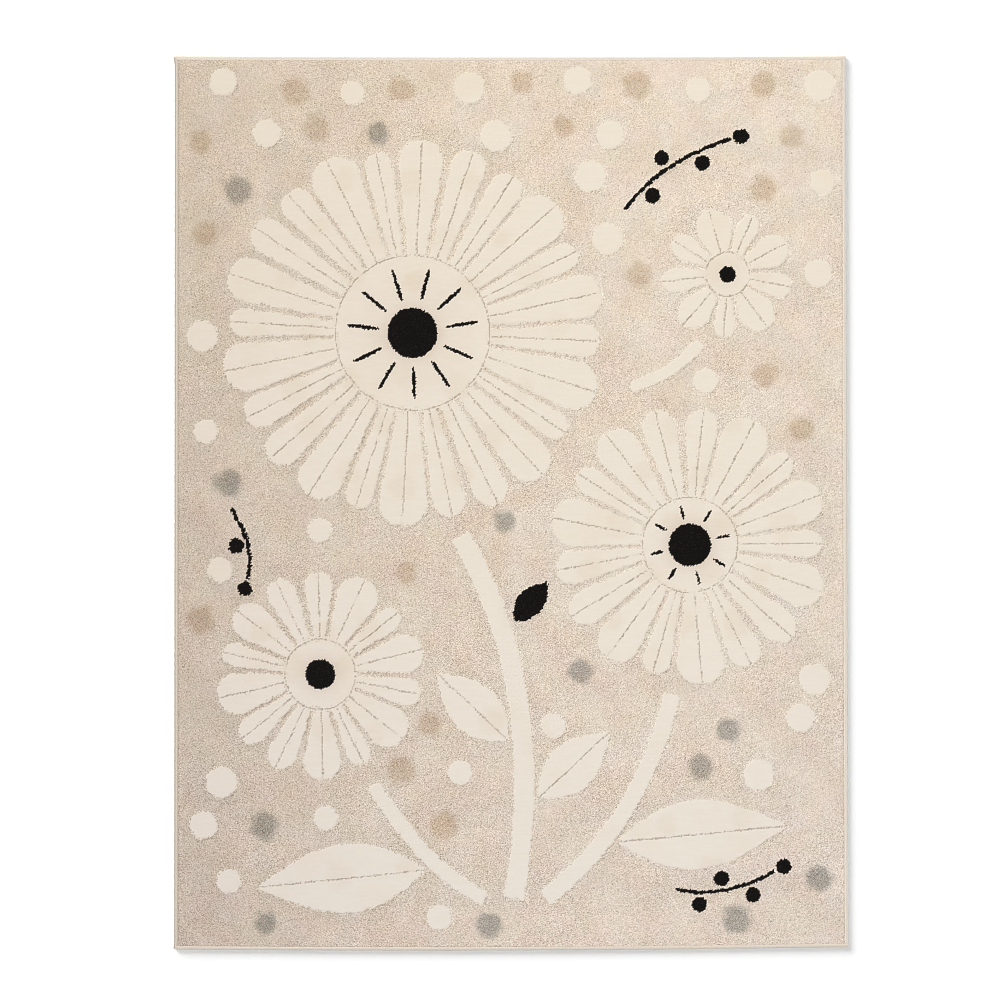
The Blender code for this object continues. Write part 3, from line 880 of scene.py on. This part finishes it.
def build_serging(side, material):
    """Yarn wrapped round one side: a sleeve whose surface swells at every slanted wrap."""
    length, across = (WIDTH, LENGTH) if side % 2 == 0 else (LENGTH, WIDTH)
    wraps = round(length / WRAP_PITCH)
    t = np.linspace(-0.5, 0.5, wraps * WRAP_STEPS + 1)
    section = np.array(SERGING_SECTION)
    out = section - np.array(SERGING_MIDDLE)
    out = out / np.linalg.norm(out, axis=1, keepdims=True)
    around = np.arange(len(section))[:, None] / (len(section) - 1)
    crest = 0.5 + 0.5 * np.cos(2 * math.pi * (t * wraps + WRAP_SLANT * around))
    vary = RNG.normal(0, WRAP_VARIATION, wraps + 1).repeat(WRAP_STEPS)[:t.size]
    swell = WRAP_HEIGHT * crest * (1 + vary) - WRAP_HEIGHT
    stray = np.interp(t * wraps, np.arange(-wraps, wraps + 1), RNG.normal(0, WRAP_STRAY, 2 * wraps + 1))
    inset = section[:, :1] + out[:, :1] * swell + stray
    height = section[:, 1:] + out[:, 1:] * swell
    x, y = t * (length - 2 * inset), inset - across / 2
    for _ in range(side):
        x, y = -y, x
    x, y = uneven(x, y)
    name = SERGING_SIDES[side]
    # Painted light and shade across the section, set for each side
    past = (section[:, :1] - CREST_INSET) / CREST_FADE
    painted_light = WRAP_PAINTED_LIGHT[name].outer * np.clip(-past, 0, 1) + WRAP_PAINTED_LIGHT[name].inner * np.clip(past, 0, 1)
    fields = {"groove_shade": (1 - crest)[::-1], "painted_light": np.broadcast_to(painted_light, x.shape)[::-1]}
    mesh = grid_mesh(f"wrapped_edge_{name}", x[::-1], y[::-1], height[::-1], fields)
    turn_normals_up(mesh)
    return place(f"wrapped_edge_{name}", mesh, material, "serging_yarn", f"serging_{name}")


def build_backing(material):
    """The woven back, a thin sheet on the underside that reaches under the serging, and its flat size."""
    inset = SERGING_WIDTH - BACKING_LAP
    across = np.linspace(1, -1, BACKING_COLUMNS + 1) * (WIDTH / 2 - inset)
    along = np.linspace(-1, 1, BACKING_ROWS + 1) * (LENGTH / 2 - inset)
    x, y = uneven(*np.meshgrid(across, along))
    mesh = grid_mesh("backing", x, y, np.full(x.shape, BACKING_Z))
    backing = place("backing", mesh, material, "carpet_pile", "carpet")
    return backing, (WIDTH - 2 * inset, LENGTH - 2 * inset)


# --- Materials ---


class Nodes:
    """Short calls for building the node tree of a material or a world."""

    def __init__(self, owner):
        owner.use_nodes = True
        self.owner = owner
        self.tree = owner.node_tree
        self.shader = self.tree.nodes.get("Principled BSDF")

    def add(self, kind, **settings):
        node = self.tree.nodes.new(kind)
        for key, value in settings.items():
            setattr(node, key, value)
        return node

    def put(self, socket, value):
        """Links a socket, or sets it to a number, a vector or an opaque colour."""
        if isinstance(value, bpy.types.NodeSocket):
            self.tree.links.new(value, socket)
        elif socket.type == "RGBA":
            socket.default_value = (*value, 1)
        else:
            socket.default_value = value

    def math(self, operation, a, b=0.0, clamp=False):
        node = self.add("ShaderNodeMath", operation=operation, use_clamp=clamp)
        self.put(node.inputs[0], a)
        self.put(node.inputs[1], b)
        return node.outputs[0]

    def plus(self, a, b, clamp=False):
        return self.math("ADD", a, b, clamp)

    def minus(self, a, b):
        return self.math("SUBTRACT", a, b)

    def times(self, a, b, clamp=False):
        return self.math("MULTIPLY", a, b, clamp)

    def scaled(self, value, factor, offset):
        return self.plus(self.times(value, factor), offset)

    def centred(self, value, span):
        """From half the span below 0 to half above, for a value from 0 to 1."""
        return self.times(self.minus(value, 0.5), span)

    def ramp(self, value, start, end):
        """0 at the start and before, 1 at the end and beyond, straight between. Either may be the lower."""
        node = self.add("ShaderNodeMapRange", clamp=True)
        for socket, given in zip(node.inputs, (value, start, end, 0.0, 1.0)):
            self.put(socket, given)
        return node.outputs[0]

    def mix(self, factor, a, b, blend="MIX"):
        node = self.add("ShaderNodeMix", data_type="RGBA", blend_type=blend)
        self.put(node.inputs[0], factor)
        self.put(node.inputs[6], a)
        self.put(node.inputs[7], b)
        return node.outputs[2]

    def multiply(self, a, b):
        return self.mix(1.0, a, b, blend="MULTIPLY")

    def tinted(self, colour, share, tint):
        return self.multiply(colour, self.mix(share, WHITE, tint))

    def colours(self, value, stops):
        node = self.add("ShaderNodeValToRGB")
        ramp = node.color_ramp
        while len(ramp.elements) < len(stops):
            ramp.elements.new(0.5)
        for element, (position, colour) in zip(ramp.elements, stops):
            element.position = position
            element.color = (*colour, 1)
        self.put(node.inputs[0], value)
        return node.outputs[0]

    def attribute(self, name):
        return self.add("ShaderNodeAttribute", attribute_name=name).outputs["Fac"]

    def object_place(self):
        return self.add("ShaderNodeTexCoord").outputs["Object"]

    def noise(self, vector, scale, detail=2.0):
        node = self.add("ShaderNodeTexNoise")
        self.put(node.inputs["Vector"], vector)
        self.put(node.inputs["Scale"], scale)
        self.put(node.inputs["Detail"], detail)
        return node.outputs["Fac"]

    def cells(self, vector, scale):
        node = self.add("ShaderNodeTexVoronoi", voronoi_dimensions="2D")
        self.put(node.inputs["Vector"], vector)
        self.put(node.inputs["Scale"], scale)
        return node

    def split(self, colour):
        node = self.add("ShaderNodeSeparateColor")
        self.put(node.inputs[0], colour)
        return node.outputs

    def split_vector(self, vector):
        node = self.add("ShaderNodeSeparateXYZ")
        self.put(node.inputs[0], vector)
        return node.outputs

    def combine(self, channels):
        node = self.add("ShaderNodeCombineColor")
        for socket, channel in zip(node.inputs, channels):
            self.put(socket, channel)
        return node.outputs[0]

    def bump(self, height, distance, strength):
        node = self.add("ShaderNodeBump")
        self.put(node.inputs["Strength"], strength)
        self.put(node.inputs["Distance"], distance)
        self.put(node.inputs["Height"], height)
        return node.outputs[0]


def painted_light_over_rug(n, position, tones):
    """Painted light and shade over the rug, paler to the right and the top, as the light falls on the
    leaning pile.
    """
    u = n.times(position[0], 1 / TONE_HALF_WIDTH)
    v = n.times(position[1], 1 / TONE_HALF_LENGTH)
    squared = n.times(u, u)
    channels = []
    for tone in tones:
        level = n.plus(n.scaled(u, tone.right, 1.0), n.times(v, tone.up))
        channels.append(n.minus(level, n.times(squared, tone.sides)))
    return n.combine(channels)


def fibre_cells(n, position):
    """Random cells that stand for the ends of the fibres."""
    bent = n.times(n.times(position[0], position[0]), FIBRE_CURVE)
    lie = n.add("ShaderNodeCombineXYZ")
    n.put(lie.inputs[0], n.times(position[0], 1 / FIBRE_STRETCH))
    n.put(lie.inputs[1], n.times(n.minus(position[1], bent), 1 / FIBRE_SQUASH))
    return n.cells(lie.outputs[0], 1 / FIBRE_CELL)


def heather_yarn(n, place_at, position, pick):
    """The brightness of the low pile's fibres."""
    stops = [(stop.at, [1 + (stop.level - 1) * slope for slope in HEATHER_SLOPES]) for stop in HEATHER]
    heather = n.colours(pick, stops)
    calm = n.scaled(position[0], CALM_RIGHT, CALM)
    calm = n.plus(n.centred(n.noise(place_at, PATCH_SCALE), PATCH_CALM), calm)
    calm = n.plus(n.times(position[1], CALM_UP), calm, clamp=True)
    heather = n.mix(calm, heather, WHITE)
    verges = [
        n.ramp(n.math("ABSOLUTE", at), half - VERGE, half)
        for at, half in zip(position, (WIDTH / 2, LENGTH / 2))
    ]
    verge = n.times(n.math("MAXIMUM", *verges), VERGE_STRENGTH)
    return n.tinted(heather, verge, heather)


def mottle(n, place_at):
    """Slow changes of the low pile's brightness."""
    coarse, fine = (
        n.centred(n.noise(place_at, layer.scale, layer.detail), layer.strength)
        for layer in (COARSE_MOTTLE, FINE_MOTTLE)
    )
    change = n.plus(coarse, fine)
    return n.combine([n.scaled(change, slope, 1.0) for slope in MOTTLE_SLOPES])


def ground_pile(n, place_at, position, picks):
    """The colour of the low pile."""
    heather = heather_yarn(n, place_at, position, picks[0])
    ground = n.multiply(n.multiply(GROUND_COLOUR, heather), mottle(n, place_at))
    speck = n.split(n.cells(place_at, 1 / SPECK_CELL).outputs["Color"])[0]
    ground = n.tinted(ground, n.ramp(speck, *SPECK_SPAN), SPECK_TINT)
    for tint in TINTS:
        share = n.ramp(n.noise(place_at, tint.scale, 1.0), *TINT_SPAN)
        ground = n.multiply(ground, n.mix(share, tint.low, tint.high))
    # Painted cool tint against warm light bounced from the cream pile
    ground = n.tinted(ground, n.attribute("gap"), GAP_PAINTED_COOL_TINT)
    dither = n.plus(n.centred(picks[1], DOT_DITHER), 1.0)
    for kind, tint in DOT_TINTS.items():
        ground = n.tinted(ground, n.times(n.attribute(kind), dither, clamp=True), tint)
    # Painted shade at the foot of the step up to raised pile
    foot = n.times(n.attribute("foot"), n.ramp(picks[2], FOOT_SHADE_START, 1.0))
    ground = n.mix(n.times(foot, FOOT_SHADE_STRENGTH), ground, FOOT_SHADE_COLOUR)
    # Painted light: low pile in the shadow of raised pile is painted lighter
    ground = n.tinted(ground, n.attribute("lee"), LEE_PAINTED_LIGHT)
    # Painted shade at the pile's margin beside the serging
    return n.tinted(ground, n.attribute("rim_shade"), RIM_PAINTED_SHADE)


def cream_pile(n, place_at, picks):
    """The colour of the raised pile, with its carved lines."""
    warm = n.ramp(n.noise(place_at, WARM_SCALE), *WARM_SPAN)
    cream = n.mix(warm, CREAM_COLOUR, CREAM_WARM)
    streak_at = n.add("ShaderNodeMapping")
    n.put(streak_at.inputs["Vector"], place_at)
    n.put(streak_at.inputs["Rotation"], (0, 0, math.radians(STREAK_TURN)))
    n.put(streak_at.inputs["Scale"], (1.0, STREAK_STRETCH, 1.0))
    streak = n.ramp(n.noise(streak_at.outputs[0], STREAK_SCALE, 3.0), *STREAK_SPAN)
    cream = n.tinted(cream, streak, STREAK_TINT)
    cream = n.tinted(cream, n.ramp(picks[1], FLECK_START, 1.0), FLECK_TINT)
    # Painted shade along the carved lines
    line = n.plus(n.attribute("carved"), n.centred(picks[1], LINE_RAGGEDNESS))
    unbroken = n.ramp(n.noise(place_at, BREAK_SCALE, 1.0), *BREAK_SPAN)
    line = n.times(n.ramp(line, *LINE_SPAN), unbroken)
    line = n.times(line, n.scaled(picks[2], 0.5, 0.5))
    cream = n.mix(n.times(line, LINE_STRENGTH), cream, CREASE_PAINTED_SHADE)
    cream = n.tinted(cream, n.attribute("halo"), HALO_TINT)
    return n.tinted(cream, n.attribute("veiled"), VEILED_TINT)


def pile_material():
    """Cut pile: low and heathered, raised and cream, or raised and black."""
    n = Nodes(bpy.data.materials.new("cut_pile"))
    place_at = n.object_place()
    position = n.split_vector(place_at)
    cell = fibre_cells(n, position)
    picks = n.split(cell.outputs["Color"])
    # Painted light and shade over the rug
    ground = n.multiply(ground_pile(n, place_at, position, picks), painted_light_over_rug(n, position, GROUND_PAINTED_LIGHT))
    cream = n.multiply(cream_pile(n, place_at, picks), painted_light_over_rug(n, position, CREAM_PAINTED_LIGHT))
    ink = n.mix(n.ramp(picks[0], INK_SHINE_START, 1.0), INK_COLOUR, INK_SHINE)
    meeting = n.plus(n.centred(picks[1], MEETING_RAGGEDNESS), 0.5)
    is_raised, is_black = (
        n.ramp(n.minus(n.attribute(name), meeting), -MEETING_BLEND, MEETING_BLEND)
        for name in ("raised", "black")
    )
    n.put(n.shader.inputs["Base Color"], n.mix(is_black, n.mix(is_raised, ground, cream), ink))

    tufts = n.times(cell.outputs["Distance"], -TUFT_BUMP)
    fibres = n.times(n.noise(place_at, FIBRE_SCALE), FIBRE_BUMP)
    depth = n.scaled(n.minus(1.0, is_raised), 1 - RAISED_BUMP, RAISED_BUMP)
    height = n.times(n.plus(tufts, fibres), depth)
    n.put(n.shader.inputs["Normal"], n.bump(height, BUMP_HEIGHT, BUMP_STRENGTH))
    n.put(n.shader.inputs["Roughness"], n.scaled(picks[2], 0.10, 0.86))
    n.shader.inputs["Specular IOR Level"].default_value = 0.05
    n.shader.inputs["Sheen Weight"].default_value = 0.02
    n.shader.inputs["Sheen Roughness"].default_value = 0.5
    return n.owner


def serging_material():
    """Yarn of the wrapped edges."""
    n = Nodes(bpy.data.materials.new("wrapped_yarn"))
    place_at = n.object_place()
    position = n.split_vector(place_at)
    fleck = n.noise(place_at, YARN_SCALE)
    yarn = n.mix(n.ramp(fleck, *YARN_SPAN), YARN_DARK, YARN_LIGHT)
    # Painted shade towards the bottom and the left
    lower = n.ramp(n.times(position[1], -1.0), *LOWER_SHADE_SPAN)
    left = n.ramp(n.times(position[0], -1.0), *LEFT_SHADE_SPAN)
    lower, left = n.times(lower, LOWER_SHADE), n.times(left, LEFT_SHADE)
    lower_left_shade = n.plus(lower, left, clamp=True)
    yarn = n.mix(n.times(lower_left_shade, LOWER_LEFT_SHADE_STRENGTH), yarn, LOWER_LEFT_SHADE_YARN)
    # Painted shade between the wraps
    yarn = n.mix(n.times(n.attribute("groove_shade"), BETWEEN_WRAPS_SHADE_STRENGTH), yarn, BETWEEN_WRAPS_SHADE)
    # Painted light and shade on each side of the serging
    painted_light = n.attribute("painted_light")
    yarn = n.mix(n.times(painted_light, 1.0, clamp=True), yarn, PAINTED_LIGHT_YARN)
    yarn = n.mix(n.times(painted_light, -1.0, clamp=True), yarn, PAINTED_SHADE_YARN)
    n.put(n.shader.inputs["Base Color"], yarn)
    n.put(n.shader.inputs["Normal"], n.bump(n.noise(place_at, HAIR_SCALE, 3.0), HAIR_HEIGHT, HAIR_STRENGTH))
    n.put(n.shader.inputs["Roughness"], n.scaled(fleck, 0.15, 0.62))
    n.shader.inputs["Specular IOR Level"].default_value = 0.25
    n.shader.inputs["Sheen Weight"].default_value = 0.05
    return n.owner


def backing_material():
    """Jute weave of the back."""
    n = Nodes(bpy.data.materials.new("woven_back"))
    place_at = n.object_place()
    waves = [
        n.math("SINE", n.times(at, 2 * math.pi / pitch))
        for at, pitch in zip(n.split_vector(place_at), (WARP_PITCH, WEFT_PITCH))
    ]
    weave = n.scaled(n.times(*waves), 0.5, 0.5)
    slub = n.noise(place_at, SLUB_SCALE, 3.0)
    jute = n.mix(n.ramp(slub, *SLUB_SPAN), JUTE_DARK, JUTE_LIGHT)
    shade = n.times(n.minus(1.0, weave), JUTE_SHADE_STRENGTH)
    jute = n.mix(shade, jute, JUTE_SHADE)
    showing = n.ramp(n.noise(place_at, SHOWING_SCALE), *SHOWING_SPAN)
    jute = n.mix(n.times(showing, SHOWING_STRENGTH), jute, SHOWING_YARN)
    n.put(n.shader.inputs["Base Color"], jute)
    height = n.plus(weave, n.times(slub, SLUB_BUMP))
    n.put(n.shader.inputs["Normal"], n.bump(height, WEAVE_HEIGHT, WEAVE_STRENGTH))
    n.put(n.shader.inputs["Roughness"], n.scaled(slub, 0.1, 0.85))
    n.shader.inputs["Specular IOR Level"].default_value = 0.15
    return n.owner


def floor_material():
    """Matt, near-white floor."""
    n = Nodes(bpy.data.materials.new("studio_floor"))
    haze = n.noise(n.object_place(), FLOOR_SCALE)
    n.put(n.shader.inputs["Base Color"], n.mix(haze, FLOOR_DARK, FLOOR_LIGHT))
    n.shader.inputs["Roughness"].default_value = 0.9
    n.shader.inputs["Specular IOR Level"].default_value = 0.0
    return n.owner


# --- Studio ---


def build_floor():
    mesh = bpy.data.meshes.new("studio_floor")
    half = FLOOR_HALF
    corners = [(-half, -half, 0), (half, -half, 0), (half, half, 0), (-half, half, 0)]
    mesh.from_pydata(corners, [], [(0, 1, 2, 3)])
    mesh.materials.append(floor_material())
    floor = new_object("studio_floor", mesh)
    floor.location.z = FLOOR_Z


def sky_glow(n, direction, light):
    """One soft round light of the sky, from 0 to 1."""
    elevation, azimuth = math.radians(light.elevation), math.radians(light.azimuth)
    flat = math.cos(elevation)
    towards = n.add("ShaderNodeVectorMath", operation="DOT_PRODUCT")
    n.put(towards.inputs[0], direction)
    n.put(towards.inputs[1], (flat * math.cos(azimuth), flat * math.sin(azimuth), math.sin(elevation)))
    start, end = math.cos(math.radians(light.outer)), math.cos(math.radians(light.inner))
    return n.ramp(towards.outputs["Value"], start, end)


def build_studio():
    """Soft light from all round: a box overhead, a wide low one at the upper left, and a pale horizon."""
    n = Nodes(bpy.data.worlds.new("studio"))
    direction = n.add("ShaderNodeTexCoord").outputs["Generated"]
    horizon = n.ramp(n.math("ABSOLUTE", n.split_vector(direction)[2]), *HORIZON_SPAN)
    total = n.scaled(horizon, HORIZON_LEVEL, SKY_LEVEL)
    for light in SKY_LIGHTS:
        total = n.scaled(sky_glow(n, direction, light), light.level, total)
    background = n.tree.nodes["Background"]
    n.put(background.inputs["Color"], WHITE)
    n.put(background.inputs["Strength"], total)
    bpy.context.scene.world = n.owner


def develop():
    """The tones and the crispness of a product photograph."""
    scene = bpy.context.scene
    scene.view_settings.view_transform = "Standard"
    scene.cycles.denoising_prefilter = "NONE"
    scene.cycles.filter_width = PIXEL_FILTER
    scene.use_nodes = True
    nodes, links = scene.node_tree.nodes, scene.node_tree.links
    nodes.clear()
    plain = nodes.new("CompositorNodeRLayers").outputs["Image"]
    crisp = nodes.new("CompositorNodeFilter")
    crisp.filter_type = "SHARPEN"
    crisp.inputs["Fac"].default_value = SHARPENING
    darkest = nodes.new("CompositorNodeMixRGB")
    darkest.blend_type = "MULTIPLY"
    darkest.inputs[2].default_value = (DARKEST, DARKEST, DARKEST, 1)
    kept = nodes.new("CompositorNodeMixRGB")
    kept.blend_type = "LIGHTEN"
    out = nodes.new("CompositorNodeComposite")
    links.new(plain, crisp.inputs["Image"])
    links.new(plain, darkest.inputs[1])
    links.new(crisp.outputs["Image"], kept.inputs[1])
    links.new(darkest.outputs["Image"], kept.inputs[2])
    links.new(kept.outputs["Image"], out.inputs["Image"])


def build_camera():
    data = bpy.data.cameras.new("camera")
    data.sensor_width = SENSOR_WIDTH
    data.lens = SENSOR_WIDTH * CAMERA_HEIGHT / (FRAME_PIXELS * PIXEL)
    data.clip_end = CAMERA_REACH
    camera = new_object("camera", data)
    camera.location = (CAMERA_X, CAMERA_Y, CAMERA_HEIGHT)
    bpy.context.scene.camera = camera


def main():
    raster, low = relief_raster(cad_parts["carpet"])
    tiles = build_pile(pile_material(), raster, low)
    yarn = serging_material()
    edging = [build_serging(side, yarn) for side in range(len(SERGING_SIDES))]
    backing, flat = build_backing(backing_material())
    build_floor()
    build_studio()
    develop()
    build_camera()


main()
